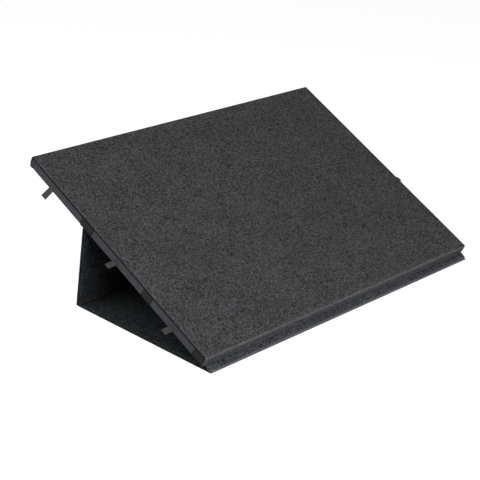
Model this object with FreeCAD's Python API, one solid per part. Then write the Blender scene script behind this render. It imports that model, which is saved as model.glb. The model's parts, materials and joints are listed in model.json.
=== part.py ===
"""Jigsaw puzzle storage case with six sorting trays and a wrap-round cover that folds into a stand.

Frame: millimetres, +Z up, +X along the long side, +Y towards the rear.
The origin is the centre of the base panel's underside, which rests on the table.
"""
import FreeCAD, Part
import os
from math import cos, radians, sin

Vector = FreeCAD.Vector
X_AXIS = Vector(1, 0, 0)
Z_AXIS = Vector(0, 0, 1)

# ---------------------------------------------------------------- driving sizes
case_width = 780.0

work_felt = 2.0            # felt of the puzzle surface, wrapped down the front and rear
top_board = 3.5
tray_height = 12.0
bottom_board = 2.2
under_felt = 0.8
board_edge_round = 1.5     # top board's long edges, under the turned felt

front_rail = 27.0
front_bay = 122.0
front_divider = 24.0
middle_bay = 152.0
rear_divider = 33.0
rear_bay = 152.0
rear_rail = 6.0
rail_end_round = 1.0
centre_stop = 12.0         # block between a left tray and a right tray

tray_wall = 1.6
tray_floor = 1.6
tray_corner = 5.0
tray_rim_bevel = 0.5       # both sides of each wall's top
tray_floor_bevel = 0.8     # where the walls meet the floor
tray_front = 3.0
tray_front_round = 1.2     # its outer edges
tray_lining = 0.8
ribbon_width = 12.0
ribbon_layer = 0.6
ribbon_height = 6.5        # slit's middle above the case's underside
ribbon_reach = 21.0        # length of the folded ribbon outside the tray front
ribbon_bend = 6.0          # radius of its bend at the slit
ribbon_droop = 6.0         # its slope below the case's plane, degrees
rear_ribbon_reach = 24.0   # the rear ribbons hang over
rear_ribbon_droop = 52.0
front_ribbon_shift = -2.0  # from the middle of the tray, towards the rear
middle_ribbon_shift = 2.0
rear_ribbon_shift = 13.0
right_middle_ribbon_shift = -33.0

cover_thickness = 4.0
cover_board = 2.4
cover_margin = 7.0         # felt beyond the board's edge, where the two felts are sewn
cover_short = 8.0          # flush with the case's left side, short of its right side by this
cover_board_corner = 3.5
base_depth = 347.0         # front fold to rear fold
spine_thickness = 2.6
spine_card = 1.0
spine_margin = 2.6
spine_card_corner = 1.3
hinge_cloth = 1.0          # strip that carries the spine, on the case's front face
web_thickness = 1.2        # sewn felt left free at a fold
bead_radius = 0.9          # fold line of that web

tilt = 26.6                # work surface above the table, degrees
spine_angle = 33.0         # spine above the base panel, degrees
back_lean = 5.0            # back panel forward of upright, degrees

hinge_height = 7.5         # spine's fold line above the case's underside
hinge_stand_off = 1.8      # the same line in front of the case's front face
hook_tape_width = 20.0
hook_tape_sunk = 0.5       # pressed into the felt
hook_tape_proud = 0.3      # above the felt
hook_tape_margin = 40.0    # from each end of the back panel

# ---------------------------------------------------------------- clearances
tray_side_gap = 1.0
tray_under_gap = 0.5
tray_head_gap = 1.0
tray_end_gap = 0.8
front_lap_gap = 0.5        # between the tray front and the notch behind it
front_underside_gap = 0.6
slit_gap = 0.15
board_edge_recess = 1.5
closed_gap = 0.7           # work surface to cover when closed
panel_gap = 0.4            # between parts that pass each other at a fold
prop_gap = 0.4             # back panel's top edge to the underside

# ---------------------------------------------------------------- derived sizes
tray_bottom_z = under_felt + bottom_board + tray_under_gap
tray_top_z = tray_bottom_z + tray_height
chamber_floor_z = under_felt + bottom_board
chamber_roof_z = tray_top_z + tray_head_gap
top_board_z = chamber_roof_z + top_board
case_thickness = top_board_z + work_felt

half_width = case_width / 2
cover_left = -half_width
cover_right = half_width - cover_short
half_cover = cover_thickness / 2
half_spine = spine_thickness / 2

front_bay_y = work_felt + front_rail
front_divider_y = front_bay_y + front_bay
middle_bay_y = front_divider_y + front_divider
rear_divider_y = middle_bay_y + middle_bay
rear_bay_y = rear_divider_y + rear_divider
rear_rail_y = rear_bay_y + rear_bay
case_depth = rear_rail_y + rear_rail + work_felt

BAYS = {
    "front": (front_bay_y, front_bay),
    "middle": (middle_bay_y, middle_bay),
    "rear": (rear_bay_y, rear_bay),
}
RIBBONS = {
    "left_front": (front_ribbon_shift, ribbon_reach, ribbon_droop),
    "left_middle": (middle_ribbon_shift, ribbon_reach, ribbon_droop),
    "left_rear": (rear_ribbon_shift, rear_ribbon_reach, rear_ribbon_droop),
    "right_front": (front_ribbon_shift, ribbon_reach, ribbon_droop),
    "right_middle": (right_middle_ribbon_shift, ribbon_reach, ribbon_droop),
    "right_rear": (rear_ribbon_shift, rear_ribbon_reach, rear_ribbon_droop),
}
SIDES = {"left": -1, "right": 1}

tray_length = half_width - centre_stop / 2 - tray_end_gap
notch_depth = tray_front + front_lap_gap

# The spine is as long as the case is thick above its own fold, so that the cover closes over the top.
spine_length = case_thickness - hinge_height + half_cover + closed_gap

# ---------------------------------------------------------------- fold lines at rest
base_fold = Vector(0, -base_depth / 2, half_cover)
back_fold = Vector(0, base_depth / 2, half_cover)


def direction(angle):
    """Unit vector in the side view, at an angle in degrees above +Y."""
    return Vector(0, cos(radians(angle)), sin(radians(angle)))


case_along = direction(tilt)
case_up = direction(tilt + 90)
case_fold = base_fold + direction(spine_angle) * spine_length
case_origin = case_fold - case_up * hinge_height + case_along * hinge_stand_off

back_angle = 90 + back_lean
prop_round = half_cover + hook_tape_proud + prop_gap
underside_distance = (case_origin - back_fold).dot(case_up)
back_height = (underside_distance - prop_round) / cos(radians(tilt + 90 - back_angle))


# ---------------------------------------------------------------- shape helpers
NEAR = 0.01                # tolerance when an edge is picked by its place
OVERSHOOT = 1.0            # how far a cutting block passes the face it cuts


def block(x0, x1, y0, y1, z0, z1):
    return Part.makeBox(x1 - x0, y1 - y0, z1 - z0, Vector(x0, y0, z0))


def edges_where(shape, test):
    return [edge for edge in shape.Edges if test(edge)]


def runs_along(edge, axis):
    if len(edge.Vertexes) != 2:
        return False
    span = edge.Vertexes[1].Point - edge.Vertexes[0].Point
    return span.cross(axis).Length < 1e-6


def long_edges_at(shape, height):
    return edges_where(shape, lambda e: runs_along(e, X_AXIS) and abs(e.BoundBox.ZMin - height) < NEAR)


def upright_edges(shape):
    return edges_where(shape, lambda e: runs_along(e, Z_AXIS))


def rounded_plate(x0, x1, y0, y1, z0, z1):
    """A plate with fully rounded front and rear edges, made from its side profile."""
    radius = (z1 - z0) / 2
    middle = (z0 + z1) / 2
    low_front = Vector(x0, y0 + radius, z0)
    low_rear = Vector(x0, y1 - radius, z0)
    high_rear = Vector(x0, y1 - radius, z1)
    high_front = Vector(x0, y0 + radius, z1)
    profile = Part.Wire([
        Part.makeLine(low_front, low_rear),
        Part.Arc(low_rear, Vector(x0, y1, middle), high_rear).toShape(),
        Part.makeLine(high_rear, high_front),
        Part.Arc(high_front, Vector(x0, y0, middle), low_front).toShape(),
    ])
    return Part.Face(profile).extrude(X_AXIS * (x1 - x0))


def in_case(shape):
    """Carry a shape from the case's own flat frame to its tilted place on the stand."""
    placed = shape.copy()
    placed.rotate(Vector(0, 0, 0), X_AXIS, tilt)
    placed.translate(case_origin)
    return placed


def about_fold(shape, fold, angle):
    """Carry a shape built flat along +Y from a fold line to its rest angle on that fold."""
    placed = shape.copy()
    placed.rotate(Vector(0, 0, 0), X_AXIS, angle)
    placed.translate(fold)
    return placed


# ---------------------------------------------------------------- case carcass
def make_top_felt():
    """Felt over the top board, turned down over the front and rear rails."""
    outer = block(-half_width, half_width, 0, case_depth, 0, case_thickness)
    outer = outer.makeFillet(board_edge_round + work_felt, long_edges_at(outer, case_thickness))
    inner = block(-half_width, half_width, work_felt, case_depth - work_felt, 0, top_board_z)
    inner = inner.makeFillet(board_edge_round, long_edges_at(inner, top_board_z))
    return outer.cut(inner)


def make_top_board():
    board = block(-half_width + board_edge_recess, half_width - board_edge_recess,
                  work_felt, case_depth - work_felt, chamber_roof_z, top_board_z)
    return board.makeFillet(board_edge_round, long_edges_at(board, top_board_z))


def notched_sheet(z0, z1):
    """A sheet as wide as the case, let in at each bay so that the tray fronts lap its edge."""
    sheet = block(-half_width, half_width, work_felt, case_depth - work_felt, z0, z1)
    for side in SIDES.values():
        for bay_y, bay_depth in BAYS.values():
            x0, x1 = sorted((side * (half_width - notch_depth), side * (half_width + OVERSHOOT)))
            sheet = sheet.cut(block(x0, x1, bay_y, bay_y + bay_depth, z0 - OVERSHOOT, z1 + OVERSHOOT))
    return sheet


def make_rail(y0, depth):
    rail = block(-half_width, half_width, y0, y0 + depth, chamber_floor_z, chamber_roof_z)
    return rail.makeFillet(rail_end_round, upright_edges(rail))


def make_centre_stops():
    stops = []
    for bay_y, bay_depth in BAYS.values():
        stops.append(block(-centre_stop / 2, centre_stop / 2, bay_y, bay_y + bay_depth,
                           chamber_floor_z, chamber_roof_z))
    return Part.makeCompound(stops)


def fold_bead(y, z):
    return Part.makeCylinder(bead_radius, cover_right - cover_left, Vector(cover_left, y, z), X_AXIS)


def make_case_hinge_cloth():
    """Cloth on the case's front face, below the fold line, with the web that carries the spine."""
    top_z = hinge_height + web_thickness / 2
    strip = block(cover_left, cover_right, -hinge_cloth, 0, under_felt, top_z)
    web = block(cover_left, cover_right, -hinge_stand_off, -hinge_cloth,
                hinge_height - web_thickness / 2, top_z)
    bead = fold_bead(-hinge_stand_off, hinge_height)
    return strip.fuse(web).fuse(bead).removeSplitter()


# ---------------------------------------------------------------- sorting trays
def tray_box(bay_y, bay_depth, inset, z0, z1):
    """Outline of a left-hand tray, inset on all four sides, with rounded corners."""
    x0 = -half_width + tray_front + inset
    x1 = -half_width + tray_length - inset
    y0 = bay_y + tray_side_gap + inset
    y1 = bay_y + bay_depth - tray_side_gap - inset
    shape = block(x0, x1, y0, y1, z0, z1)
    return shape.makeFillet(tray_corner - inset, upright_edges(shape))


def make_tray(bay_y, bay_depth):
    """Open tray: four walls with an eased rim, and a floor that meets them in a bevel."""
    body = tray_box(bay_y, bay_depth, 0, tray_bottom_z, tray_top_z)
    floor_z = tray_bottom_z + tray_floor
    pocket = tray_box(bay_y, bay_depth, tray_wall, floor_z, tray_top_z + tray_wall)
    floor_edges = edges_where(pocket, lambda e: e.BoundBox.ZMax < floor_z + NEAR)
    pocket = pocket.makeChamfer(tray_floor_bevel, floor_edges)
    tray = body.cut(pocket)
    rim = edges_where(tray, lambda e: e.BoundBox.ZMin > tray_top_z - NEAR)
    return tray.makeChamfer(tray_rim_bevel, rim)


def make_lining(bay_y, bay_depth):
    floor_z = tray_bottom_z + tray_floor
    return tray_box(bay_y, bay_depth, tray_wall + tray_floor_bevel, floor_z, floor_z + tray_lining)


def make_tray_front(bay_y, bay_depth, ribbon_y):
    """Front board of a left-hand tray, lapping the bottom board's edge, slit for its ribbon."""
    front = block(-half_width, -half_width + tray_front, bay_y + tray_side_gap,
                  bay_y + bay_depth - tray_side_gap, front_underside_gap, tray_top_z)
    outer = edges_where(front, lambda e: e.BoundBox.XMax < -half_width + NEAR)
    front = front.makeFillet(tray_front_round, outer)
    half_slit = ribbon_width / 2 + slit_gap
    half_high = ribbon_layer + slit_gap
    slit = block(-half_width - OVERSHOOT, -half_width + tray_front + OVERSHOOT,
                 ribbon_y - half_slit, ribbon_y + half_slit,
                 ribbon_height - half_high, ribbon_height + half_high)
    return front.cut(slit)


def make_ribbon(ribbon_y, reach, droop):
    """Ribbon folded double, held in the tray front's slit, bent over outside it and then straight."""
    axis_z = ribbon_height - ribbon_bend
    turn = radians(droop)
    outward = Vector(-cos(turn), 0, -sin(turn))
    straight = reach - ribbon_bend * turn

    def bend_point(angle, radius):
        return Vector(-half_width - radius * sin(angle), 0, axis_z + radius * cos(angle))

    inner_x = -half_width + tray_front
    top = ribbon_bend + ribbon_layer
    under = ribbon_bend - ribbon_layer
    inner_top = Vector(inner_x, 0, axis_z + top)
    inner_under = Vector(inner_x, 0, axis_z + under)
    top_end = bend_point(turn, top) + outward * straight
    under_end = bend_point(turn, under) + outward * straight
    nose = bend_point(turn, ribbon_bend) + outward * (straight + ribbon_layer)
    profile = Part.Wire([
        Part.makeLine(inner_top, bend_point(0, top)),
        Part.Arc(bend_point(0, top), bend_point(turn / 2, top), bend_point(turn, top)).toShape(),
        Part.makeLine(bend_point(turn, top), top_end),
        Part.Arc(top_end, nose, under_end).toShape(),
        Part.makeLine(under_end, bend_point(turn, under)),
        Part.Arc(bend_point(turn, under), bend_point(turn / 2, under), bend_point(0, under)).toShape(),
        Part.makeLine(bend_point(0, under), inner_under),
        Part.makeLine(inner_under, inner_top),
    ])
    ribbon = Part.Face(profile).extrude(Vector(0, ribbon_width, 0))
    ribbon.translate(Vector(0, ribbon_y - ribbon_width / 2, 0))
    return ribbon


def on_side(shape, side):
    """Left-hand shapes as they are, right-hand ones mirrored across the case's middle."""
    if side < 0:
        return shape
    return shape.mirror(Vector(0, 0, 0), X_AXIS)


# ---------------------------------------------------------------- wrap-round cover
def edge_setback(other_half, angle):
    """Distance from a fold line to the centre of a panel's rounded edge, so that the panel
    stays clear of one of the given half thickness folded to the given angle."""
    return (half_cover + other_half + panel_gap) / sin(radians(angle))


base_front_centre = edge_setback(half_spine, spine_angle)
fold_centre = edge_setback(half_cover, 180 - back_angle)
base_front_y = base_fold.y + base_front_centre - half_cover
base_rear_y = back_fold.y - fold_centre + half_cover

back_start = fold_centre - half_cover
back_end = back_height + half_cover

spine_start = (half_spine + web_thickness / 2 + panel_gap) / sin(radians(spine_angle)) - half_spine
spine_end = spine_length - bead_radius - panel_gap


def felt_and_board(y0, y1, z_middle, thickness, core, margin, corner):
    """Two felts sewn round a board: the felt with its pocket, and the board in it."""
    felt = rounded_plate(cover_left, cover_right, y0, y1,
                         z_middle - thickness / 2, z_middle + thickness / 2)
    board = block(cover_left + margin, cover_right - margin, y0 + margin, y1 - margin,
                  z_middle - core / 2, z_middle + core / 2)
    board = board.makeFillet(corner, upright_edges(board))
    return felt.cut(board), board


def fold_web(fold_y, panel_y, panel):
    """Sewn felt between a panel's edge and its fold line, ending in the fold's round."""
    y0, y1 = sorted((fold_y, panel_y + (half_cover if panel_y > fold_y else -half_cover)))
    web = block(cover_left, cover_right, y0, y1,
                half_cover - web_thickness / 2, half_cover + web_thickness / 2)
    return web.fuse(fold_bead(fold_y, half_cover)).removeSplitter().cut(panel)


def make_hook_tape():
    """Hook tape on the back panel's rear face, turned over its rounded top edge."""
    x0 = cover_left + hook_tape_margin
    x1 = cover_right - hook_tape_margin
    outer = half_cover + hook_tape_proud
    inner = half_cover - hook_tape_sunk
    wrapped = rounded_plate(x0, x1, back_start, back_end + hook_tape_proud, -outer, outer)
    core = rounded_plate(cover_left, cover_right, back_start, back_end - hook_tape_sunk, -inner, inner)
    rear_half = block(cover_left, cover_right, back_end - hook_tape_width,
                      back_end + cover_thickness, -cover_thickness, 0)
    return wrapped.cut(core).common(rear_half)


# ---------------------------------------------------------------- assembly
def build():
    nodes = {
        "top_felt": in_case(make_top_felt()),
        "top_board": in_case(make_top_board()),
        "bottom_board": in_case(notched_sheet(under_felt, chamber_floor_z)),
        "bottom_felt": in_case(notched_sheet(0, under_felt)),
        "front_rail": in_case(make_rail(work_felt, front_rail)),
        "front_divider": in_case(make_rail(front_divider_y, front_divider)),
        "rear_divider": in_case(make_rail(rear_divider_y, rear_divider)),
        "rear_rail": in_case(make_rail(rear_rail_y, rear_rail)),
        "centre_stops": in_case(make_centre_stops()),
        "case_hinge_cloth": in_case(make_case_hinge_cloth()),
    }
    for side_name, side in SIDES.items():
        for bay_name, (bay_y, bay_depth) in BAYS.items():
            place = side_name + "_" + bay_name
            shift, reach, droop = RIBBONS[place]
            ribbon_y = bay_y + bay_depth / 2 + shift
            pieces = {
                "tray": make_tray(bay_y, bay_depth),
                "tray_front": make_tray_front(bay_y, bay_depth, ribbon_y),
                "tray_lining": make_lining(bay_y, bay_depth),
                "tray_ribbon": make_ribbon(ribbon_y, reach, droop),
            }
            for piece, shape in pieces.items():
                nodes[piece + "_" + place] = in_case(on_side(shape, side))

    base_felt, base_board = felt_and_board(base_front_y, base_rear_y, half_cover, cover_thickness,
                                           cover_board, cover_margin, cover_board_corner)
    nodes["base_felt"] = base_felt
    nodes["base_board"] = base_board
    solid_base = base_felt.fuse(base_board)
    nodes["base_front_web"] = fold_web(base_fold.y, base_front_y, solid_base)
    nodes["base_rear_web"] = fold_web(back_fold.y, base_rear_y, solid_base)

    back_felt, back_board = felt_and_board(back_start, back_end, 0, cover_thickness,
                                           cover_board, cover_margin, cover_board_corner)
    hook_tape = make_hook_tape()
    nodes["back_felt"] = about_fold(back_felt.cut(hook_tape), back_fold, back_angle)
    nodes["back_board"] = about_fold(back_board, back_fold, back_angle)
    nodes["hook_tape"] = about_fold(hook_tape, back_fold, back_angle)

    spine_felt, card = felt_and_board(spine_start, spine_end, 0, spine_thickness,
                                      spine_card, spine_margin, spine_card_corner)
    nodes["spine_felt"] = about_fold(spine_felt, base_fold, spine_angle)
    nodes["spine_card"] = about_fold(card, base_fold, spine_angle)
    return nodes


NODES = build()

os.makedirs("parts", exist_ok=True)
for name, shape in NODES.items():
    shape.exportStep(os.path.join("parts", name + ".step"))
print("nodes", len(NODES))
print("case", case_width, "x", case_depth, "x", case_thickness)
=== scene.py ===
"""Looks of the jigsaw puzzle storage case: felt, cloth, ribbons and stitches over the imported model.

Metres, in the model's own frame: +Z up, +X along the long side, +Y towards the rear.
"""

import json
from math import atan2, ceil, cos, exp, hypot, pi, radians, sin, sqrt

import bmesh
import bpy
from mathutils import Matrix, Vector, noise


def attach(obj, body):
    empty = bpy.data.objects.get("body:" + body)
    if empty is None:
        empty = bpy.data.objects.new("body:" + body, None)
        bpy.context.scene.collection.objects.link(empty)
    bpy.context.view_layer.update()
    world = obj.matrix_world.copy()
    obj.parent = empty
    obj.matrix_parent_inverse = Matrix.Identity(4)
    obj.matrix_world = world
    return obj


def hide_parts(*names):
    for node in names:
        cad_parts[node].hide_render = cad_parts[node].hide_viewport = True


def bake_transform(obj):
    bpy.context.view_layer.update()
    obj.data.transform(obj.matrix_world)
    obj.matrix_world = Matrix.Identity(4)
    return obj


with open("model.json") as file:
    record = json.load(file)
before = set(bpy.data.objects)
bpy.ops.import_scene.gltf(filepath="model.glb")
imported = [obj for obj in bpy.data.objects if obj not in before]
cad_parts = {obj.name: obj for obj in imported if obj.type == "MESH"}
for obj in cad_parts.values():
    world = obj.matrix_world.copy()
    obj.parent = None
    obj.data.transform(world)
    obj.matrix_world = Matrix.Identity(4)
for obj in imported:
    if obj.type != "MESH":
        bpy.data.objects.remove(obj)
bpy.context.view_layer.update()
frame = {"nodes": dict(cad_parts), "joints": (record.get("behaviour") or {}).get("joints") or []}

MM = 0.001

# ------------ sizes of the felts
tilt = radians(26.6)           # work surface above the table

felt_board_round = 1.5 * MM    # top board's long edges, where the felt turns
felt_column = 9 * MM           # spacing of a felt's mesh along the case
felt_wander = 0.12 * MM        # unevenness of a laid felt
felt_wander_size = 35 * MM
felt_ragged = 0.22 * MM        # unevenness of a cut edge
felt_ragged_size = 4 * MM
rear_turn_slack = 2.6 * MM     # how far the work felt stands off where it turns down the rear
rear_turn_end = 12 * MM        # height on the rear face at which that slack starts to go
notch_ease = 0.5 * MM          # round a tray front let into the felt underneath
lining_round = 2.6 * MM        # corners of a tray's lining
soft_edge = (0.3, 0.7)         # inset and rise of a plain felt's edge, of half its thickness

# ------------ sizes of the cover
seam_half = 0.9 * MM           # two felts sewn together at a panel's border
seam_dip = 0.25 * MM           # pressed in by the stitches
seam_dip_share = 0.25          # width of that dip, of the stitches' distance from the border
seam_line = 4.0 * MM           # stitches' distance from the border
board_rise = 6.2 * MM          # where the board inside starts to lift the felts
board_flat = 8.6 * MM          # where the felts lie flat on it
panel_ease = 0.08 * MM         # felt faces inside the panel's full thickness

spine_seam_half = 0.8 * MM     # the same sizes for the narrow spine
spine_seam_line = 1.7 * MM
spine_rise = 2.2 * MM
spine_flat = 3.4 * MM

fold_cloth = 1.6 * MM          # thickness of the cloth round a fold
fold_round = 1.1 * MM          # radius of the cloth's middle about a fold line
fold_tuck = 7.5 * MM           # how far that cloth runs along a panel
spine_tuck = 5.0 * MM          # how far it runs along the spine
corner_draw = 5.5 * MM         # how far a fold's two ends draw in
corner_fade = 3.2 * MM         # distance from the fold over which that fades
corner_depth = 8 * MM          # distance from the side over which it fades

hinge_cloth = 1.1 * MM         # thickness of the strip between the spine and the case
hinge_tail = 4.2 * MM          # how far it runs along the spine
hinge_round = 0.7 * MM         # where it turns down the case's front

tape_thickness = 0.7 * MM
tape_ragged = 0.05 * MM
tape_margin = 1.6 * MM         # stitches' distance from the tape's border
tape_ends = 2 * MM             # where a row of them starts and ends

stitch_length = 2.7 * MM
stitch_pitch = 3.9 * MM
stitch_sides = 5               # corners of a thread's section
thread_radius = 0.27 * MM

# ------------ painted highlights, up to 1 where a felt is painted quite pale as if its edges caught the light
# painted highlight where the work felt turns over the front and rear of the case
turn_highlight_width = 1.4 * MM
turn_highlight_place = 0.45         # share of the way round the work felt's turn
rear_turn_highlight = 0.6
front_face_painted_light = 0.22         # painted light on the face below the front turn
# painted highlight along a felt's cut sides, cut_edge_depth wide
cut_side_highlight = 0.35
cut_edge_depth = 0.6 * MM
# painted highlight along the spine's lower edge, at the nose
spine_nose_highlight = 0.5
# painted highlights on the cloth round the front fold at the nose, fainter round the rear fold
fold_highlight_width = 1.8 * MM
front_fold_highlight = 1.0
front_fold_brightest = 0.5 * MM   # distance past the fold's bend at which the painted highlight is brightest
rear_fold_highlight = 0.2

# ------------ sizes of the trays' dressing
front_bar_round = 1.3 * MM
bar_ends = tuple((d * MM, draw * MM) for d, draw in (
    (0.0, 0.9), (0.12, 0.55), (0.45, 0.2), (1.2, 0.0)))     # distance, how far drawn in
bar_mesh = 4 * MM              # spacing of its rings
bar_mesh_at_slit = 1.2 * MM
bar_mesh_round = 1 * MM        # spacing of points round a ring
bar_middle_gap = 0.9 * MM      # the last step's own middle is this far short of the bar's
bar_outside = 0.6              # share of its thickness that is uneven and puckers
bar_wander = 0.16 * MM
bar_wander_size = 14 * MM
slit_pucker = 0.8 * MM         # how far a tray front draws in at the ribbon's slit
slit_reach = 6.5 * MM
slit_fade = 0.35               # width of the pucker, of that reach
slit_flatness = 1.6            # how much narrower it is upwards than along

ribbon_cloth = 0.55 * MM
ribbon_loop = 0.62 * MM        # half the height of its folded end
ribbon_pinch = 0.52            # half the gap between its two layers' middles, of the cloth
ribbon_straight = 1 * MM       # length each side of the slit's mouth, before gap or bend
ribbon_crease = 4 * MM         # length over which it bends down outside the slit
ribbon_bow = 0.25 * MM         # how far its middle rises at the tip
ribbon_ragged = 0.04 * MM
ribbon_mesh = 1.6 * MM
ribbon_steps = 60              # of its bent middle line
ribbon_level = 21 * MM         # length outside the tray front, where it lies
ribbon_hanging = 24 * MM       # and where it hangs
ribbon_set = {                 # length, droop and turn about its own length
    "left_front": (ribbon_level, radians(5), radians(3)),
    "left_middle": (ribbon_level, radians(8), radians(-5)),
    "left_rear": (ribbon_hanging, radians(54), radians(7)),
    "right_front": (ribbon_level, radians(10), radians(5)),
    "right_middle": (ribbon_level, radians(-10), radians(-3)),
    "right_rear": (ribbon_hanging, radians(49), radians(-5)),
}

# ------------ camera and studio
camera_place = Vector((-1.8813, -1.5433, 1.0958))
camera_yaw = radians(48.455)
camera_pitch = radians(22.656)
camera_roll = radians(3.785)
camera_lens = 100.83
camera_sensor = 36
camera_reach = 50

lamp_target = (0, 0, 0.1)
lamp_size = 2.0
key_place = (-1.9, 0.9, 1.8)
key_power = 27
fill_place = (-0.7, -2.9, 1.2)
fill_power = 69
floor_reach = 6.0
floor_gap = 0.2 * MM           # under the base panel
floor_light = 0.75             # grey that lights the case
floor_shadowed = 0.4           # grey that shows the case's shadow
floor_glow = 0.93              # added to it, so that the bare floor is white
world_light = 0.015

PLACES = [side + "_" + bay for side in ("left", "right") for bay in ("front", "middle", "rear")]
JOINTS = {joint["name"]: joint for joint in frame["joints"]}
NODES = frame["nodes"]


# ------------ side frames read from the model
class SideFrame:
    """A flat frame seen from the side: an origin, a direction along and a direction up."""

    def __init__(self, origin, angle):
        self.origin = origin
        self.along = Vector((0, cos(angle), sin(angle)))
        self.up = Vector((0, -sin(angle), cos(angle)))

    def at(self, x, y, z):
        return Vector((x, 0, 0)) + self.origin + self.along * y + self.up * z

    def extent(self, node):
        """Lowest and highest x, along and up of a CAD node in this frame."""
        points = [vertex.co - self.origin for vertex in NODES[node].data.vertices]
        rows = [(p.x, p.dot(self.along), p.dot(self.up)) for p in points]
        low = Vector([min(row[i] for row in rows) for i in range(3)])
        high = Vector([max(row[i] for row in rows) for i in range(3)])
        return low, high


def case_frame():
    """The case's frame, with its origin on the underside at the front."""
    loose = SideFrame(Vector((0, 0, 0)), tilt)
    low, _ = loose.extent("top_felt")
    return SideFrame(loose.along * low.y + loose.up * low.z, tilt)


base_fold = Vector(JOINTS["spine_fold"]["pos_m"])
case_fold = Vector(JOINTS["case_fold"]["pos_m"])
back_fold = Vector(JOINTS["back_panel_fold"]["pos_m"])
spine_angle = atan2(case_fold.z - base_fold.z, case_fold.y - base_fold.y)
back_angle = radians(JOINTS["back_panel_fold"]["range_deg"][1])

case = case_frame()
base = SideFrame(Vector((0, 0, base_fold.z)), 0)
spine = SideFrame(base_fold, spine_angle)
back = SideFrame(back_fold, back_angle)


# ------------ paths in a side view
closest_rows = 0.05 * MM
same_point = 1e-7


class Line:
    """Straight run of a path, cut into steps."""

    def __init__(self, start, end, step=felt_column):
        self.start = Vector(start)
        self.end = Vector(end)
        self.length = (self.end - self.start).length
        self.parts = max(1, ceil(self.length / step))

    def at(self, share):
        run = self.end - self.start
        return self.start.lerp(self.end, share), Vector((-run.y, run.x)) / run.length


class Arc:
    """Turn of a path about a centre, from one angle to another."""

    def __init__(self, centre, radius, first, last, parts=8):
        self.centre = Vector(centre)
        self.radius = radius
        self.first = first
        self.last = last
        self.length = radius * abs(last - first)
        self.parts = parts

    def at(self, share):
        turn = self.first + (self.last - self.first) * share
        spoke = Vector((cos(turn), sin(turn)))
        left = -spoke if self.last > self.first else spoke
        return self.centre + spoke * self.radius, left


def eased(start, start_heading, end, end_heading, parts=8):
    """A smooth run between two points that leaves and arrives at given headings."""
    reach = (Vector(end) - Vector(start)).length * 0.4
    near = Vector(start) + Vector((cos(start_heading), sin(start_heading))) * reach
    far = Vector(end) - Vector((cos(end_heading), sin(end_heading))) * reach
    corners = [Vector(start), near, far, Vector(end)]
    points = []
    for i in range(parts + 1):
        t = i / parts
        weights = ((1 - t) ** 3, 3 * t * (1 - t) ** 2, 3 * t * t * (1 - t), t ** 3)
        points.append(sum((w * c for w, c in zip(weights, corners)), Vector((0, 0))))
    return [Line(points[i], points[i + 1]) for i in range(parts)]


def path_length(path):
    return sum(part.length for part in path)


def rows_of(path, borders):
    """(distance, point, normal) along a path, with close rows at both of its ends."""
    total = path_length(path)
    wanted = []
    run = 0.0
    for part in path:
        wanted += [run + part.length * i / part.parts for i in range(part.parts)]
        run += part.length
    wanted += [total, *borders, *(total - b for b in borders)]
    rows = []
    for distance in sorted(d for d in wanted if 0 <= d <= total):
        if rows and distance - rows[-1][0] < closest_rows:
            continue
        run = 0.0
        for part in path:
            if distance <= run + part.length + 1e-9:
                break
            run += part.length
        point, normal = part.at(min(1.0, (distance - run) / part.length))
        rows.append((distance, point, normal))
    return rows, total


def smooth_normals(rows):
    """Turns each row's normal to suit its neighbours, so that runs join without a crease."""
    result = []
    for i, (distance, point, _) in enumerate(rows):
        before = rows[max(0, i - 1)][1]
        after = rows[min(len(rows) - 1, i + 1)][1]
        run = after - before
        result.append((distance, point, Vector((-run.y, run.x)) / run.length))
    return result


def columns_of(width, step, borders):
    """Places across a sheet, with close columns at both of its sides."""
    near = [b for b in borders if b < width / 2]
    inner = width - 2 * near[-1]
    count = max(1, ceil(inner / step))
    middle = [near[-1] + inner * i / count for i in range(1, count)]
    return near + middle + [width - b for b in reversed(near)]


# ------------ mesh helpers
def new_piece(name, points, faces, material, painted_highlight=()):
    mesh = bpy.data.meshes.new(name)
    mesh.from_pydata([tuple(p) for p in points], [], faces)
    # painted highlight: each point's share of it, kept as a mesh attribute for the felts
    if painted_highlight:
        highlight_marks = mesh.attributes.new("painted_highlight", "FLOAT", "POINT")
        highlight_marks.data.foreach_set("value", painted_highlight)
    work = bmesh.new()
    work.from_mesh(mesh)
    bmesh.ops.remove_doubles(work, verts=work.verts, dist=same_point)
    bmesh.ops.recalc_face_normals(work, faces=work.faces)
    work.to_mesh(mesh)
    work.free()
    mesh.shade_smooth()
    mesh.materials.append(material)
    piece = bpy.data.objects.new(name, mesh)
    bpy.context.scene.collection.objects.link(piece)
    return piece


def finish_piece(piece, body, nodes=()):
    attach(piece, body)
    if nodes:
        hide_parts(*nodes)


def half_round(distance, radius):
    """Half-round border: 0 on the border, 1 from the radius inwards."""
    if distance >= radius:
        return 1.0
    return sqrt(max(0.0, 1 - (1 - distance / radius) ** 2))


def smooth_step(value, low, high):
    share = min(1.0, max(0.0, (value - low) / (high - low)))
    return share * share * (3 - 2 * share)


def bell(distance, width):
    return exp(-(distance / width) ** 2)


def unevenness(point, size):
    return noise.noise(Vector(point) / size)


def nowhere(distance):
    return 0.0


def drawn_corner(distance):
    """How far the side of a panel or a fold draws in at this distance from the fold line."""
    return corner_draw * exp(-distance / corner_fade)


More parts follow.
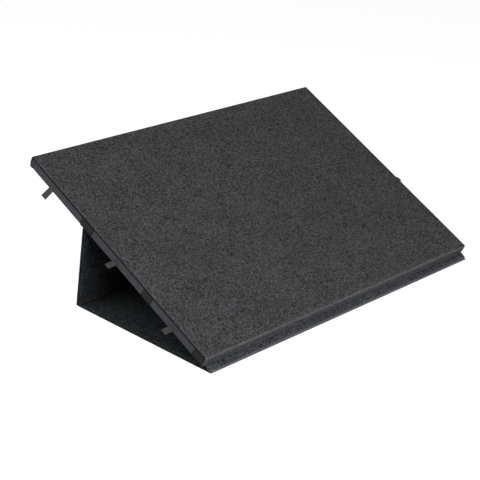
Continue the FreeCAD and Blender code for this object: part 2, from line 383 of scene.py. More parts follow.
def sheet(name, path, first, last, half, place, material, borders, ragged, wander=0.0,
          step=felt_column, painted_highlight=nowhere, cut_edge_highlight=0.0, corner=nowhere):
    """A sheet with thickness. Its path lies in a side view and runs from first to last across it.

    half(d, e) is half its thickness at distances d and e from the path's ends and from its sides,
    place(a, b, c) puts a point of the side view, c across, into the model's frame,
    the painted highlight function of d gives how pale the cloth is painted, as if catching light, at
    distance d along the path, and the cut edge highlight the same for its cut sides. corner(d) is how
    far its sides draw in there.
    """
    rows, length = rows_of(path, borders)
    rows = smooth_normals(rows)
    columns = columns_of(last - first, step, borders)
    upper = []
    lower = []
    highlight_marks = []
    for distance, point, normal in rows:
        for column in columns:
            side = min(column, last - first - column)
            # painted highlight marks, along the path and along the cut sides
            highlight_marks.append(painted_highlight(distance) + cut_edge_highlight * (side < cut_edge_depth))
            thick = half(min(distance, length - distance), side)
            across = first + column
            drift = wander * unevenness((point.x, point.y, across), felt_wander_size)
            outward = -1 if column < (last - first) / 2 else 1
            if side < borders[-1]:
                rag = unevenness((point.x, point.y, across), felt_ragged_size) - 0.5
                across += ragged * outward * rag
            across -= outward * corner(distance) * exp(-side / corner_depth)
            high = point + normal * (drift + thick)
            low = point + normal * (drift - thick)
            upper.append(place(high.x, high.y, across))
            lower.append(place(low.x, low.y, across))
    wide = len(columns)
    count = len(upper)
    faces = []
    for i in range(len(rows) - 1):
        for j in range(wide - 1):
            a = i * wide + j
            faces.append((a, a + 1, a + wide + 1, a + wide))
            faces.append((count + a, count + a + wide, count + a + wide + 1, count + a + 1))
    return new_piece(name, upper + lower, faces, material, highlight_marks + highlight_marks)


def side_place(side_frame):
    """place() for a sheet whose path lies in a side frame and whose width runs along X."""
    def place(along, up, x):
        return side_frame.at(x, along, up)
    return place


def tube_faces(rings):
    """Faces between closed rings of points that follow each other."""
    faces = []
    for lower, upper in zip(rings, rings[1:]):
        for i in range(len(lower)):
            j = (i + 1) % len(lower)
            faces.append((lower[i], lower[j], upper[j], upper[i]))
    return faces


def plate(name, outline, low, high, place, material):
    """A flat felt cut to an outline, with soft edges."""
    middle = (low + high) / 2
    radius = (high - low) / 2
    draw, rise = soft_edge
    levels = [(0.0, middle), (draw * radius, middle + rise * radius), (radius, high)]
    points = []
    rings = []
    for inset, level in [(i, 2 * middle - z) for i, z in reversed(levels)] + levels[1:]:
        ring = inset_outline(outline, inset)
        rings.append(range(len(points), len(points) + len(ring)))
        points += [place(x, y, level) for x, y in ring]
    faces = [tuple(reversed(rings[0])), tuple(rings[-1])] + tube_faces(rings)
    return new_piece(name, points, faces, material)


def inset_outline(outline, distance):
    """An outline, run anticlockwise, moved inwards."""
    result = []
    count = len(outline)
    for i in range(count):
        before = Vector(outline[i - 1])
        here = Vector(outline[i])
        after = Vector(outline[(i + 1) % count])
        first = (here - before).normalized()
        second = (after - here).normalized()
        inward = Vector((-first.y, first.x)) + Vector((-second.y, second.x))
        inward /= max(0.2, inward.length_squared / 2)
        result.append(tuple(here + inward * distance))
    return result


def rounded_rectangle(x0, x1, y0, y1, radius, parts=6):
    """Anticlockwise outline of a rectangle with round corners."""
    corners = ((x1 - radius, y0 + radius, -pi / 2), (x1 - radius, y1 - radius, 0),
               (x0 + radius, y1 - radius, pi / 2), (x0 + radius, y0 + radius, pi))
    outline = []
    for x, y, first in corners:
        turns = [first + pi / 2 * i / parts for i in range(parts + 1)]
        outline += [(x + radius * cos(t), y + radius * sin(t)) for t in turns]
    return outline


# ------------ materials
felt_grain = 1.3 * MM
felt_drift = 70 * MM           # slow changes of shade
felt_hue_drift = 11 * MM
felt_sheen = 0.02
fibre_gain = 11.0              # single fibres, against the felt's colour
painted_highlight_gain = 6.5                # painted highlight: felt painted quite pale, against its colour


def shader(name, roughness, specular, sheen=0.0):
    material = bpy.data.materials.new(name)
    material.use_nodes = True
    surface = material.node_tree.nodes["Principled BSDF"]
    surface.inputs["Roughness"].default_value = roughness
    surface.inputs["Specular IOR Level"].default_value = specular
    surface.inputs["Sheen Weight"].default_value = sheen
    surface.inputs["Sheen Roughness"].default_value = 0.5
    place = add(material.node_tree, "ShaderNodeTexCoord", {}).outputs["Object"]
    return material, material.node_tree, surface, place


def add(tree, kind, inputs, **settings):
    made = tree.nodes.new(kind)
    for key, value in settings.items():
        setattr(made, key, value)
    for key, value in inputs.items():
        if isinstance(value, bpy.types.NodeSocket):
            tree.links.new(value, made.inputs[key])
        else:
            made.inputs[key].default_value = value
    return made


def mottle(tree, place, size, detail=2.0, roughness=0.55, distortion=0.0):
    """Noise of about 0 to 1 with features of the given size."""
    made = add(tree, "ShaderNodeTexNoise", {
        "Vector": place, "Scale": 1 / size, "Detail": detail,
        "Roughness": roughness, "Distortion": distortion})
    return made.outputs["Fac"]


def math(tree, operation, first, second=0.0, clamp=False):
    return add(tree, "ShaderNodeMath", {0: first, 1: second}, operation=operation,
               use_clamp=clamp).outputs[0]


def weighted(tree, first, first_share, second, second_share):
    return math(tree, "ADD", math(tree, "MULTIPLY", first, first_share),
                math(tree, "MULTIPLY", second, second_share))


def strands(tree, place, size, thinness, distortion):
    """Thin winding lines, as of single fibres, from the middle level of a noise."""
    level = mottle(tree, place, size, 1.0, 0.5, distortion)
    away = math(tree, "ABSOLUTE", math(tree, "SUBTRACT", level, 0.5))
    return math(tree, "SUBTRACT", 1.0, math(tree, "MULTIPLY", away, thinness), clamp=True)


def ramp(tree, factor, stops):
    made = add(tree, "ShaderNodeValToRGB", {"Fac": factor})
    band = made.color_ramp
    while len(band.elements) < len(stops):
        band.elements.new(0.5)
    for element, (place, colour) in zip(band.elements, stops):
        element.position = place
        element.color = (*colour, 1)
    return made.outputs["Color"]


def mixed(tree, factor, first, second, blend="MIX"):
    made = add(tree, "ShaderNodeMix", {"Factor": factor}, data_type="RGBA", blend_type=blend)
    sockets = [s for s in made.inputs if s.type == "RGBA"]
    for socket, value in zip(sockets, (first, second)):
        if isinstance(value, bpy.types.NodeSocket):
            tree.links.new(value, socket)
        else:
            socket.default_value = (*value, 1)
    return [s for s in made.outputs if s.type == "RGBA"][0]


def finish_surface(tree, surface, colour, height, distance):
    """Gives a surface its colour and its relief."""
    tree.links.new(colour, surface.inputs["Base Color"])
    made = add(tree, "ShaderNodeBump", {"Height": height, "Distance": distance, "Strength": 1.0})
    tree.links.new(made.outputs["Normal"], surface.inputs["Normal"])


def tinted(colour, gain):
    return tuple(channel * gain for channel in colour)


def felt(name, colour, size=3.8 * MM, contrast=0.95, bump=0.8 * MM, painted_highlight=0.8):
    """Needled felt: clumps of fibre, winding single fibres and a fine grain, with painted highlights
    where marked.
    """
    material, tree, surface, place = shader(name, 0.95, 0.05, felt_sheen)
    clumps = mottle(tree, place, size, roughness=0.55, distortion=0.9)
    grain = mottle(tree, place, felt_grain, roughness=0.6)
    drifts = mottle(tree, place, felt_drift)
    long_fibres = strands(tree, place, size * 1.5, 20.0, 1.8)
    short_fibres = strands(tree, place, size * 0.8, 16.0, 1.2)
    fibres = math(tree, "MAXIMUM", math(tree, "MULTIPLY", long_fibres, 0.9), short_fibres)
    fibres = math(tree, "MULTIPLY", fibres, math(tree, "ADD", grain, 0.2), clamp=True)
    ground = ramp(tree, clumps, [(0.42, tinted(colour, 1 - contrast)),
                                 (0.50, tinted(colour, 0.7)),
                                 (0.62, tinted(colour, 1 + 1.5 * contrast))])
    lit = mixed(tree, fibres, ground, tinted(colour, fibre_gain))
    shade = ramp(tree, drifts, [(0.3, (0.9, 0.9, 0.9)), (0.7, (1.06, 1.06, 1.07))])
    shaded = mixed(tree, 1.0, lit, shade, "MULTIPLY")
    hue = ramp(tree, mottle(tree, place, felt_hue_drift, detail=1.0),
               [(0.36, (1.03, 1.0, 0.96)), (0.62, (0.97, 1.0, 1.03))])
    plain = mixed(tree, 1.0, shaded, hue, "MULTIPLY")
    # painted highlight: paler where the mesh marks an edge that catches the light, patchy with the
    # clumps
    highlight_mark = add(tree, "ShaderNodeAttribute", {}, attribute_name="painted_highlight").outputs["Fac"]
    patchy = math(tree, "ADD", math(tree, "MULTIPLY", clumps, 1.3), 0.1)
    highlight_share = math(tree, "MULTIPLY", highlight_mark, patchy, clamp=True)
    finish = mixed(tree, math(tree, "MULTIPLY", highlight_share, painted_highlight), plain, tinted(colour, painted_highlight_gain))
    height = weighted(tree, weighted(tree, clumps, 0.8, fibres, 0.5), 1.0, grain, 0.25)
    finish_surface(tree, surface, finish, height, bump)
    return material


def woven(name, colour, thread, rib_axis, sheen=0.1):
    """Cloth or ribbon with ribs that follow one axis and a finer crossing thread."""
    material, tree, surface, place = shader(name, 0.8, 0.25, sheen)
    crossing = "Y" if rib_axis == "X" else "X"
    wobble = mottle(tree, place, 6 * MM, 2.0)
    ribs = add(tree, "ShaderNodeTexWave", {
        "Vector": place, "Scale": 1 / (6.3 * thread), "Distortion": 0.5, "Detail": 1.0},
        bands_direction=rib_axis)
    threads = add(tree, "ShaderNodeTexWave", {
        "Vector": place, "Scale": 1 / (3.4 * thread), "Distortion": 0.6, "Detail": 1.0},
        bands_direction=crossing)
    weave = weighted(tree, ribs.outputs["Fac"], 0.65, threads.outputs["Fac"], 0.35)
    tone = weighted(tree, weave, 0.6, wobble, 0.4)
    finish = ramp(tree, tone, [(0.25, tinted(colour, 0.72)), (0.75, tinted(colour, 1.22))])
    finish_surface(tree, surface, finish, weave, thread * 0.35)
    return material


def pressed_board(name, colour, fleck, size, roughness=0.85):
    """Card or fibreboard: flecks of fibre pressed flat, drawn out along the board."""
    material, tree, surface, place = shader(name, roughness, 0.2)
    drawn = add(tree, "ShaderNodeMapping", {
        "Vector": place, "Scale": (0.45, 0.45, 2.2)}).outputs[0]
    layers = mottle(tree, drawn, size, 4.0, 0.65, 0.3)
    specks = strands(tree, drawn, size * 1.6, 12.0, 1.2)
    ground = ramp(tree, layers, [(0.28, tinted(colour, 0.7)), (0.72, tinted(colour, 1.3))])
    finish = mixed(tree, math(tree, "MULTIPLY", specks, 0.5), ground, fleck)
    finish_surface(tree, surface, finish, layers, 0.15 * MM)
    return material


def hook_surface(name, colour):
    """Hook tape: close rows of tiny hooks on a woven ground."""
    material, tree, surface, place = shader(name, 0.6, 0.4)
    rows = add(tree, "ShaderNodeTexVoronoi", {
        "Vector": place, "Scale": 1 / (1.1 * MM), "Randomness": 0.35})
    off_hook = rows.outputs["Distance"]
    tips = ramp(tree, off_hook, [(0.0, tinted(colour, 2.4)), (0.45, tinted(colour, 0.5))])
    finish_surface(tree, surface, tips, math(tree, "SUBTRACT", 1.0, off_hook), 0.3 * MM)
    return material


work_felt = felt("work_felt", (0.0300, 0.0301, 0.0315))
cover_felt = felt("cover_felt", (0.0108, 0.0126, 0.0139), size=4.8 * MM)
spine_finish = felt("spine_finish", (0.0250, 0.0266, 0.0300), size=3.6 * MM)
under_felt = felt("under_felt", (0.0145, 0.0153, 0.0166), size=4.2 * MM)
lining_felt = felt("lining_felt", (0.034, 0.036, 0.038), size=3.0 * MM, bump=0.3 * MM)
# painted highlight at full strength where its pieces mark one, at the folds
seam_cloth = felt("seam_cloth", (0.030, 0.031, 0.034), size=3.0 * MM, contrast=0.45, bump=0.2 * MM,
                  painted_highlight=1.0)
front_cloth = woven("front_cloth", (0.062, 0.066, 0.078), 0.55 * MM, "Y")
ribbon_weave = woven("ribbon_weave", (0.070, 0.067, 0.061), 0.7 * MM, "X", sheen=0.05)
thread = woven("thread", (0.030, 0.031, 0.034), 0.3 * MM, "X", sheen=0.0)
tray_board = pressed_board("tray_board", (0.030, 0.030, 0.032), (0.06, 0.06, 0.06), 5 * MM)
# near black: on the top board's recessed side edges it paints shade into the dark line under the work
# felt, together with the board's own dark edge
dark_board = pressed_board("dark_board", (0.010, 0.010, 0.011), (0.02, 0.02, 0.022), 3 * MM)
grey_board = pressed_board("grey_board", (0.20, 0.18, 0.15), (0.32, 0.28, 0.22), 4 * MM)
fibreboard = pressed_board("fibreboard", (0.023, 0.022, 0.0215), (0.042, 0.039, 0.037), 3 * MM)
hooks = hook_surface("hooks", (0.010, 0.010, 0.011))


# ------------ case felts
# distances of a sheet's close rows and columns from its borders
FELT_BORDERS = (0.0, 0.15 * MM, 0.5 * MM, 1.0 * MM)
THIN_BORDERS = (0.0, 0.1 * MM, 0.25 * MM, 0.4 * MM)
RIBBON_BORDERS = (0.0, 0.1 * MM, 0.28 * MM)


def plain_half(thickness):
    radius = thickness / 2

    def half(from_end, from_side):
        return radius * half_round(from_end, radius) * half_round(from_side, radius)
    return half


def make_work_felt():
    """The puzzle surface's felt, turned down over the front and rear of the case."""
    low, high = case.extent("top_felt")
    thickness = high.z - case.extent("top_board")[1].z
    middle = thickness / 2
    radius = felt_board_round + middle
    front = low.y + middle
    rear = high.y - middle
    loose = rear + rear_turn_slack
    top = high.z - middle
    path = [
        Line((front, low.z), (front, top - radius), step=4 * MM),
        Arc((front + radius, top - radius), radius, pi, pi / 2),
        Line((front + radius, top), (loose - radius, top)),
        Arc((loose - radius, top - radius), radius, pi / 2, 0),
        Line((loose, top - radius), (loose, low.z + rear_turn_end), step=2 * MM),
        Line((loose, low.z + rear_turn_end), (rear, low.z), step=2 * MM),
    ]
    length = path_length(path)
    # painted highlights along the front and rear turns, and painted light on the face below the front
    # turn
    turn = path[0].length + path[1].length * turn_highlight_place

    def painted_highlight(distance):
        at_front = bell(distance - turn, turn_highlight_width)
        at_rear = bell(length - turn - distance, turn_highlight_width)
        face = front_face_painted_light * smooth_step(turn - distance, 0.0, felt_board_round)
        return at_front + rear_turn_highlight * at_rear + face

    piece = sheet("work_surface_felt", path, low.x, high.x, plain_half(thickness),
                  side_place(case), work_felt, FELT_BORDERS, felt_ragged, felt_wander,
                  painted_highlight=painted_highlight, cut_edge_highlight=cut_side_highlight)
    finish_piece(piece, "case", ["top_felt"])


def notched_outline(low, high, notch, bays):
    """Outline of a sheet let in at each tray front, on both sides."""
    right = [(high.x, low.y)]
    for y0, y1 in bays:
        right += [(high.x, y0), (high.x - notch, y0), (high.x - notch, y1), (high.x, y1)]
    right.append((high.x, high.y))
    left = [(low.x + high.x - x, y) for x, y in reversed(right)]
    return right + left


def bay_spans():
    """Where each bay lies along the case, from the pieces either side of it."""
    names = ["front_rail", "front_divider", "rear_divider", "rear_rail"]
    spans = [case.extent(name) for name in names]
    return [(before[1].y, after[0].y) for before, after in zip(spans, spans[1:])]


def make_under_felt():
    low, high = case.extent("bottom_felt")
    front_low, front_high = case.extent("tray_front_right_front")
    notch = front_high.x - front_low.x + notch_ease
    outline = notched_outline(low, high, notch, bay_spans())
    piece = plate("underside_felt", outline, low.z, high.z, case.at, under_felt)
    finish_piece(piece, "case", ["bottom_felt"])


# ------------ cover panels
PANEL_BORDERS = tuple(d * MM for d in (0, 0.15, 0.45, 0.9, 2, 3.2, 4, 4.8, 6.2, 7, 7.8, 8.6))
SPINE_BORDERS = tuple(d * MM for d in (0, 0.15, 0.4, 0.8, 1.3, 1.7, 2.2, 2.8, 3.4))


def sewn_half(seam, line, rise, flat, full):
    """Half thickness of a sewn panel: a thin stitched border, then felts lifted by the board."""
    def half(from_end, from_side):
        nearest = min(from_end, from_side)
        corner = nearest
        if from_end < flat and from_side < flat:
            corner = flat - hypot(flat - from_end, flat - from_side)
        pressed = seam_dip * bell(nearest - line, seam_dip_share * line)
        border = (seam - pressed) * half_round(from_end, seam) * half_round(from_side, seam)
        return border + (full - seam) * smooth_step(corner, rise, flat)
    return half


def make_panel(name, node, side_frame, body):
    """One stiff panel of the cover, in its own side frame."""
    low, high = side_frame.extent(node)
    full = (high.z - low.z) / 2 - panel_ease
    middle = (high.z + low.z) / 2
    half = sewn_half(seam_half, seam_line, board_rise, board_flat, full)
    piece = sheet(name, [Line((low.y, middle), (high.y, middle))], low.x, high.x, half,
                  side_place(side_frame), cover_felt, PANEL_BORDERS, felt_ragged,
                  corner=lambda d: drawn_corner(min(d, high.y - low.y - d) + fold_tuck))
    finish_piece(piece, body, [node])
    runs = []
    x0, x1 = low.x + seam_line, high.x - seam_line
    y0, y1 = low.y + seam_line, high.y - seam_line
    for sign in (1, -1):
        level = middle + sign * (seam_half - seam_dip)
        corners = [side_frame.at(x, y, level) for x, y in ((x0, y0), (x1, y0), (x1, y1), (x0, y1))]
        for i in range(4):
            runs.append((corners[i], corners[(i + 1) % 4], side_frame.up * sign))
    make_stitches(name + "_stitches", runs, body)


def make_spine():
    low, high = spine.extent("spine_felt")
    full = (high.z - low.z) / 2
    middle = (high.z + low.z) / 2
    half = sewn_half(spine_seam_half, spine_seam_line, spine_rise, spine_flat, full)
    path = [Line((low.y, middle), (high.y, middle), step=2 * MM)]
    # painted highlight along the spine's lower edge, at the nose
    piece = sheet("spine_strip", path, low.x, high.x, half, side_place(spine), spine_finish,
                  SPINE_BORDERS, felt_ragged, painted_highlight=lambda d: spine_nose_highlight * bell(d, turn_highlight_width),
                  corner=lambda d: drawn_corner(d + fold_tuck))
    finish_piece(piece, "spine", ["spine_felt"])
    runs = []
    for sign in (1, -1):
        level = middle + sign * (spine_seam_half - seam_dip)
        for y in (low.y + spine_seam_line, high.y - spine_seam_line):
            start = spine.at(low.x + seam_line, y, level)
            end = spine.at(high.x - seam_line, y, level)
            runs.append((start, end, spine.up * sign))
    make_stitches("spine_strip_stitches", runs, "spine")


def make_stitches(name, runs, body):
    """Machine stitches along straight runs, each one a short thread that dips in at both ends."""
    rings = ((0.14, 0.7, 0.1), (0.5, 1.0, 0.5), (0.86, 0.7, 0.1))     # place, width and lift
    sides = stitch_sides
    points = []
    faces = []
    for start, end, up in runs:
        run = end - start
        heading = run.normalized()
        across = heading.cross(up)
        count = int(run.length / stitch_pitch)
        margin = (run.length - count * stitch_pitch + stitch_pitch - stitch_length) / 2
        for i in range(count):
            origin = start + heading * (margin + i * stitch_pitch)
            first = len(points)
            points.append(origin - up * thread_radius)
            for share, width, lift in rings:
                centre = origin + heading * (share * stitch_length) + up * (lift * thread_radius)
                for k in range(sides):
                    turn = 2 * pi * k / sides
                    spoke = across * cos(turn) + up * sin(turn)
                    points.append(centre + spoke * (width * thread_radius))
            points.append(origin + heading * stitch_length - up * thread_radius)
            last = len(points) - 1
            for k in range(sides):
                n = (k + 1) % sides
                faces.append((first, first + 1 + n, first + 1 + k))
                for ring in range(len(rings) - 1):
                    a = first + 1 + ring * sides
                    faces.append((a + k, a + n, a + sides + n, a + sides + k))
                a = first + 1 + (len(rings) - 1) * sides
                faces.append((a + k, a + n, last))
    finish_piece(new_piece(name, points, faces, thread), body)


# ------------ folds of the cover
def fold_path(near_angle, far_angle, sweep_first, sweep_last, tuck_near, tuck_far):
    """Side view of cloth along one panel, round a fold line at (0, 0) and along the other panel.

    Also gives the distance along it at which the bend ends.
    """
    near_end = Vector((cos(near_angle), sin(near_angle))) * tuck_near
    far_end = Vector((cos(far_angle), sin(far_angle))) * tuck_far
    bend = Arc((0, 0), fold_round, sweep_first, sweep_last, parts=14)
    direction = 1 if sweep_last > sweep_first else -1
    into = eased(near_end, near_angle + pi, bend.at(0)[0], sweep_first + direction * pi / 2)
    away = eased(bend.at(1)[0], sweep_last + direction * pi / 2, far_end, far_angle)
    return into + [bend] + away, path_length(into) + bend.length


def blended_fold(name, fold, path, brightest, highlight_strength, nodes):
    """Cloth across a fold. It turns within the fold's own round, from one body to the other."""
    low, high = base.extent("base_felt")
    side_frame = SideFrame(fold, 0)

    # painted highlight, brightest a little past the fold's bend
    def painted_highlight(distance):
        return highlight_strength * bell(distance - brightest, fold_highlight_width)

    def corner(distance):
        return drawn_corner(abs(distance - brightest))

    piece = sheet(name, path, low.x, high.x, plain_half(fold_cloth), side_place(side_frame),
                  seam_cloth, THIN_BORDERS, felt_ragged, painted_highlight=painted_highlight, corner=corner)
    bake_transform(piece)
    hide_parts(*nodes)
    length = path_length(path)


def make_folds():
    down = radians(270)
    path, past_bend = fold_path(0, spine_angle, down, spine_angle + pi / 2, fold_tuck, spine_tuck)
    blended_fold("front_fold_cloth", base_fold, path, past_bend + front_fold_brightest,
                 front_fold_highlight,
                 ["base_front_web"])
    back_turn = back_angle - pi / 2 + 2 * pi
    path, past_bend = fold_path(pi, back_angle, down, back_turn, fold_tuck, fold_tuck)
    blended_fold("rear_fold_cloth", back_fold, path, past_bend / 2,
                 rear_fold_highlight,
                 ["base_rear_web"])


def make_case_fold():
    """Cloth from the spine's upper edge to the case, glued down its front below the fold line."""
    low, high = case.extent("case_hinge_cloth")
    from_origin = case_fold - case.origin
    at_fold = Vector((from_origin.dot(case.along), from_origin.dot(case.up)))
    back_along = spine_angle - tilt + pi
    tail = at_fold + Vector((cos(back_along), sin(back_along))) * hinge_tail
    face = -hinge_cloth / 2
    turn = hinge_round
    path = [
        Line(tail, at_fold, step=0.7 * MM),
        Line(at_fold, (face - turn, at_fold.y), step=0.4 * MM),
        Arc((face - turn, at_fold.y - turn), turn, pi / 2, 0, parts=6),
        Line((face, at_fold.y - turn), (face, low.z), step=1.2 * MM),
    ]
    piece = sheet("case_fold_cloth", path, low.x, high.x, plain_half(hinge_cloth),
                  side_place(case), seam_cloth, THIN_BORDERS, felt_ragged)
    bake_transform(piece)
    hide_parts("case_hinge_cloth")
    length = path_length(path)


# ------------ hook tape
def make_hook_tape():
    """Hook tape turned over the back panel's upper edge, stitched on all round."""
    low, high = back.extent("hook_tape")
    outer = -low.z - tape_thickness / 2
    top = high.y - outer - tape_thickness / 2
    path = [
        Line((low.y, -outer), (top, -outer), step=3 * MM),
        Arc((top, 0), outer, -pi / 2, 0),
    ]
    piece = sheet("grip_tape", path, low.x, high.x, plain_half(tape_thickness),
                  side_place(back), hooks, THIN_BORDERS, tape_ragged, step=12 * MM)
    finish_piece(piece, "back_panel", ["hook_tape"])
    length = path_length(path)
    level = -outer - tape_thickness / 2 + seam_dip
    x0, x1 = low.x + tape_ends, high.x - tape_ends
    y0, y1 = low.y + tape_ends, top - tape_ends / 2
    runs = [(back.at(x0, y, level), back.at(x1, y, level), -back.up)
            for y in (low.y + tape_margin, top - 0.5 * MM)]
    runs += [(back.at(x, y0, level), back.at(x, y1, level), -back.up)
             for x in (low.x + tape_margin, high.x - tape_margin)]
    make_stitches("grip_tape_stitches", runs, "back_panel")


# ------------ trays
def bar_loop(x0, x1, z0, z1, radius):
    """Cross-section of a tray front, with points close enough together for its pucker."""
    loop = rounded_rectangle(x0, x1, z0, z1, radius, parts=4)
    dense = []
    for i, here in enumerate(loop):
        after = loop[(i + 1) % len(loop)]
        run = (after[0] - here[0], after[1] - here[1])
        parts = max(1, ceil(hypot(*run) / bar_mesh_round))
        for k in range(parts):
            share = k / parts
            dense.append((here[0] + run[0] * share, here[1] + run[1] * share))
    return dense


def bar_stations(length, slit):
    """Distances of a tray front's rings: close at both ends, then as far as its middle."""
    stations = [d for d, _ in bar_ends]

    def following():
        near = abs(stations[-1] - slit) < 2 * slit_reach
        return stations[-1] + (bar_mesh_at_slit if near else bar_mesh)

    while (stations[-1] + following()) / 2 + bar_middle_gap < length / 2:
        stations.append(following())
    return stations + [length - d for d, _ in reversed(bar_ends)]


def end_draw(from_end):
    """How far a tray front's section draws in at this distance from its end."""
    draw = 0.0
    for (d0, draw0), (d1, draw1) in zip(bar_ends, bar_ends[1:]):
        if d0 <= from_end <= d1:
            draw = draw0 + (draw1 - draw0) * (from_end - d0) / (d1 - d0)
    return draw


def make_front_bar(place_name):
    """A tray front: a soft cloth-covered bar, drawn in round the ribbon's slit."""
    node = "tray_front_" + place_name
    low, high = case.extent(node)
    ribbon_low, ribbon_high = case.extent("tray_ribbon_" + place_name)
    outer = low.x if abs(low.x) > abs(high.x) else high.x
    inner = high.x if outer == low.x else low.x
    inward = 1 if inner > outer else -1
    slit_y = (ribbon_low.y + ribbon_high.y) / 2
    slit_z = ribbon_root(place_name)
    half_ribbon = (ribbon_high.y - ribbon_low.y) / 2
    half_x = abs(outer - inner) / 2
    half_z = (high.z - low.z) / 2
    middle_x = (outer + inner) / 2
    middle_z = (low.z + high.z) / 2
    loop = bar_loop(low.x, high.x, low.z, high.z, front_bar_round)
    length = high.y - low.y
    rings = []
    points = []
    for distance in bar_stations(length, slit_y - low.y):
        draw = end_draw(min(distance, length - distance))
        y = low.y + distance
        rings.append(range(len(points), len(points) + len(loop)))
        for x, z in loop:
            x_in = x - draw * max(-1.0, min(1.0, (x - middle_x) / half_x))
            z_in = z - draw * max(-1.0, min(1.0, (z - middle_z) / half_z))
            if abs(x - outer) < bar_outside * 2 * half_x:
                beside = max(0.0, abs(y - slit_y) - half_ribbon)
                off_slit = hypot(beside, (z - slit_z) * slit_flatness)
                x_in += inward * slit_pucker * bell(off_slit, slit_fade * slit_reach)
                x_in += inward * bar_wander * (0.5 + unevenness((x, y, z), bar_wander_size))
            points.append(case.at(x_in, y, z_in))
    faces = [tuple(rings[0]), tuple(reversed(rings[-1]))] + tube_faces(rings)
    piece = new_piece("front_bar_" + place_name, points, faces, front_cloth)
    finish_piece(piece, "tray_" + place_name, [node])


def ribbon_root(place_name):
    """Height of a ribbon's middle where it leaves its slit."""
    front_low, front_high = case.extent("tray_front_" + place_name)
    node = NODES["tray_ribbon_" + place_name]
    reach = [(vertex.co - case.origin).dot(case.up) for vertex in node.data.vertices
             if abs(vertex.co.x) < max(abs(front_low.x), abs(front_high.x)) - 0.1 * MM]
    return (min(reach) + max(reach)) / 2


def make_ribbon(place_name):
    """Ribbon folded double into a pull, with its own droop and turn."""
    node = "tray_ribbon_" + place_name
    low, high = case.extent(node)
    front_low, front_high = case.extent("tray_front_" + place_name)
    outward = -1 if low.x < front_low.x else 1
    root_x = front_high.x if outward < 0 else front_low.x
    inner = front_high.x - front_low.x
    middle_y = (low.y + high.y) / 2
    half_width = (high.y - low.y) / 2
    root_z = ribbon_root(place_name)
    length, droop, turn = ribbon_set[place_name]
    reach = inner + length

    def slope(distance):
        return droop * smooth_step(distance - inner, -ribbon_straight, ribbon_crease)

    steps = ribbon_steps
    line = [Vector((0, 0))]
    for i in range(steps):
        angle = slope((i + 0.5) / steps * reach)
        line.append(line[-1] + Vector((cos(angle), -sin(angle))) * (reach / steps))

    def place(distance, height, across):
        station = min(distance / reach, 1.0) * steps
        before = min(int(station), steps - 1)
        centre = line[before].lerp(line[before + 1], station - before)
        share = max(0.0, distance - inner) / length
        angle = slope(distance)
        twist = turn * share
        bow = ribbon_bow * share * (1 - (across / half_width) ** 2)
        y = across * cos(twist) - height * sin(twist)
        lift = across * sin(twist) + height * cos(twist) + bow
        return case.at(root_x + outward * (centre.x + sin(angle) * lift), middle_y + y,
                       root_z + centre.y + cos(angle) * lift)

    loop = ribbon_loop - ribbon_cloth / 2
    tip = reach - ribbon_loop
    parting = inner + ribbon_straight
    pinch = ribbon_cloth * ribbon_pinch
    upper = eased((0, pinch), 0, (parting, pinch), 0, parts=2)
    upper += eased((parting, pinch), 0, (tip, loop), 0, parts=14)
    lower = eased((tip, -loop), pi, (parting, -pinch), pi, parts=14)
    lower += eased((parting, -pinch), pi, (0, -pinch), pi, parts=2)
    path = upper + [Arc((tip, 0), loop, pi / 2, -pi / 2)] + lower
    piece = sheet("ribbon_" + place_name, path, -half_width, half_width,
                  plain_half(ribbon_cloth), place, ribbon_weave, RIBBON_BORDERS, ribbon_ragged,
                  step=ribbon_mesh)
    finish_piece(piece, "tray_" + place_name, [node])
    cloth = path_length(path)


def make_lining(place_name):
    node = "tray_lining_" + place_name
    low, high = case.extent(node)
    outline = rounded_rectangle(low.x, high.x, low.y, high.y, lining_round)
    piece = plate("lining_" + place_name, outline, low.z, high.z, case.at, lining_felt)
    finish_piece(piece, "tray_" + place_name, [node])


# ------------ model's own rigid nodes
def dress_nodes():
    finishes = {
        dark_board: ["top_board", "bottom_board"],
        fibreboard: ["front_rail", "front_divider", "rear_divider", "centre_stops"],
        front_cloth: ["rear_rail"],
        grey_board: ["base_board", "back_board", "spine_card"],
        tray_board: ["tray_" + place_name for place_name in PLACES],
    }
    for material, names in finishes.items():
        for name in names:
            for slot in NODES[name].material_slots:
                slot.material = material


# ------------ studio
def make_camera():
    camera = bpy.data.objects.new("camera", bpy.data.cameras.new("camera"))
    camera.data.lens = camera_lens
    camera.data.sensor_width = camera_sensor
    camera.data.clip_end = camera_reach
    turn = (Matrix.Rotation(-camera_yaw, 4, "Z") @ Matrix.Rotation(pi / 2 - camera_pitch, 4, "X")
            @ Matrix.Rotation(camera_roll, 4, "Z"))
    camera.matrix_world = Matrix.Translation(camera_place) @ turn
    bpy.context.scene.collection.objects.link(camera)
    bpy.context.scene.camera = camera


def make_lamp(name, place, power):
    lamp = bpy.data.lights.new(name, "AREA")
    lamp.shape = "SQUARE"
    lamp.size = lamp_size
    lamp.energy = power
    holder = bpy.data.objects.new(name, lamp)
    holder.location = place
    beam = Vector(lamp_target) - Vector(place)
    holder.rotation_euler = beam.to_track_quat("-Z", "Y").to_euler()
    bpy.context.scene.collection.objects.link(holder)


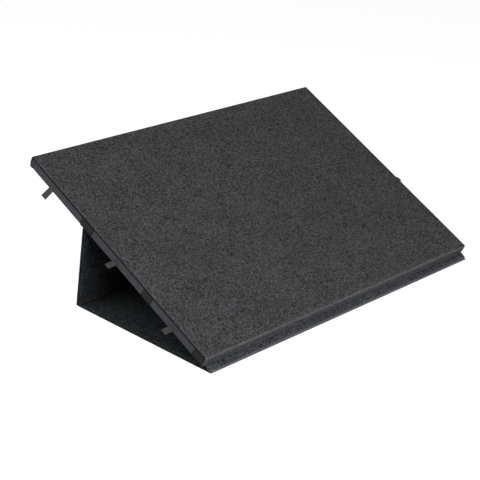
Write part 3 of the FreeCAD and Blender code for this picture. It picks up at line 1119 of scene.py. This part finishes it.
def background_switch(tree, plain, shown):
    """Camera, glossy and transmission rays see one shader, the rest another."""
    rays = add(tree, "ShaderNodeLightPath", {})
    seen = math(tree, "MAXIMUM", rays.outputs["Is Camera Ray"], rays.outputs["Is Glossy Ray"])
    seen = math(tree, "MAXIMUM", seen, rays.outputs["Is Transmission Ray"])
    made = tree.nodes.new("ShaderNodeMixShader")
    tree.links.new(seen, made.inputs[0])
    tree.links.new(plain, made.inputs[1])
    tree.links.new(shown, made.inputs[2])
    return made.outputs[0]


def grey(level):
    return level, level, level, 1


def make_floor():
    size = floor_reach
    points = [(-size, -size, 0), (size, -size, 0), (size, size, 0), (-size, size, 0)]
    material = bpy.data.materials.new("floor")
    material.use_nodes = True
    tree = material.node_tree
    tree.nodes.remove(tree.nodes["Principled BSDF"])
    lit = add(tree, "ShaderNodeBsdfDiffuse", {"Color": grey(floor_light)})
    shadowed = add(tree, "ShaderNodeBsdfDiffuse", {"Color": grey(floor_shadowed)})
    glow = add(tree, "ShaderNodeEmission", {"Color": grey(floor_glow), "Strength": 1.0})
    shown = add(tree, "ShaderNodeAddShader", {0: shadowed.outputs[0], 1: glow.outputs[0]})
    surface = background_switch(tree, lit.outputs[0], shown.outputs[0])
    tree.links.new(surface, tree.nodes["Material Output"].inputs["Surface"])
    floor = new_piece("floor", points, [(0, 1, 2, 3)], material)
    floor.location.z = -floor_gap


def make_world():
    world = bpy.data.worlds.new("studio")
    world.use_nodes = True
    tree = world.node_tree
    tree.nodes.clear()
    plain = add(tree, "ShaderNodeBackground", {"Color": grey(1), "Strength": world_light})
    shown = add(tree, "ShaderNodeBackground", {"Color": grey(1), "Strength": 1.0})
    output = tree.nodes.new("ShaderNodeOutputWorld")
    surface = background_switch(tree, plain.outputs[0], shown.outputs[0])
    tree.links.new(surface, output.inputs["Surface"])
    bpy.context.scene.world = world


def make_studio():
    make_lamp("key", key_place, key_power)
    make_lamp("fill", fill_place, fill_power)
    make_floor()
    make_world()
    bpy.context.scene.view_settings.view_transform = "Standard"


# ------------ everything
make_camera()
make_studio()
dress_nodes()
make_work_felt()
make_under_felt()
make_panel("base_cover", "base_felt", base, "base")
make_panel("back_cover", "back_felt", back, "back_panel")
make_spine()
make_folds()
make_case_fold()
make_hook_tape()
for place_name in PLACES:
    make_front_bar(place_name)
    make_ribbon(place_name)
    make_lining(place_name)

bpy.context.view_layer.update()
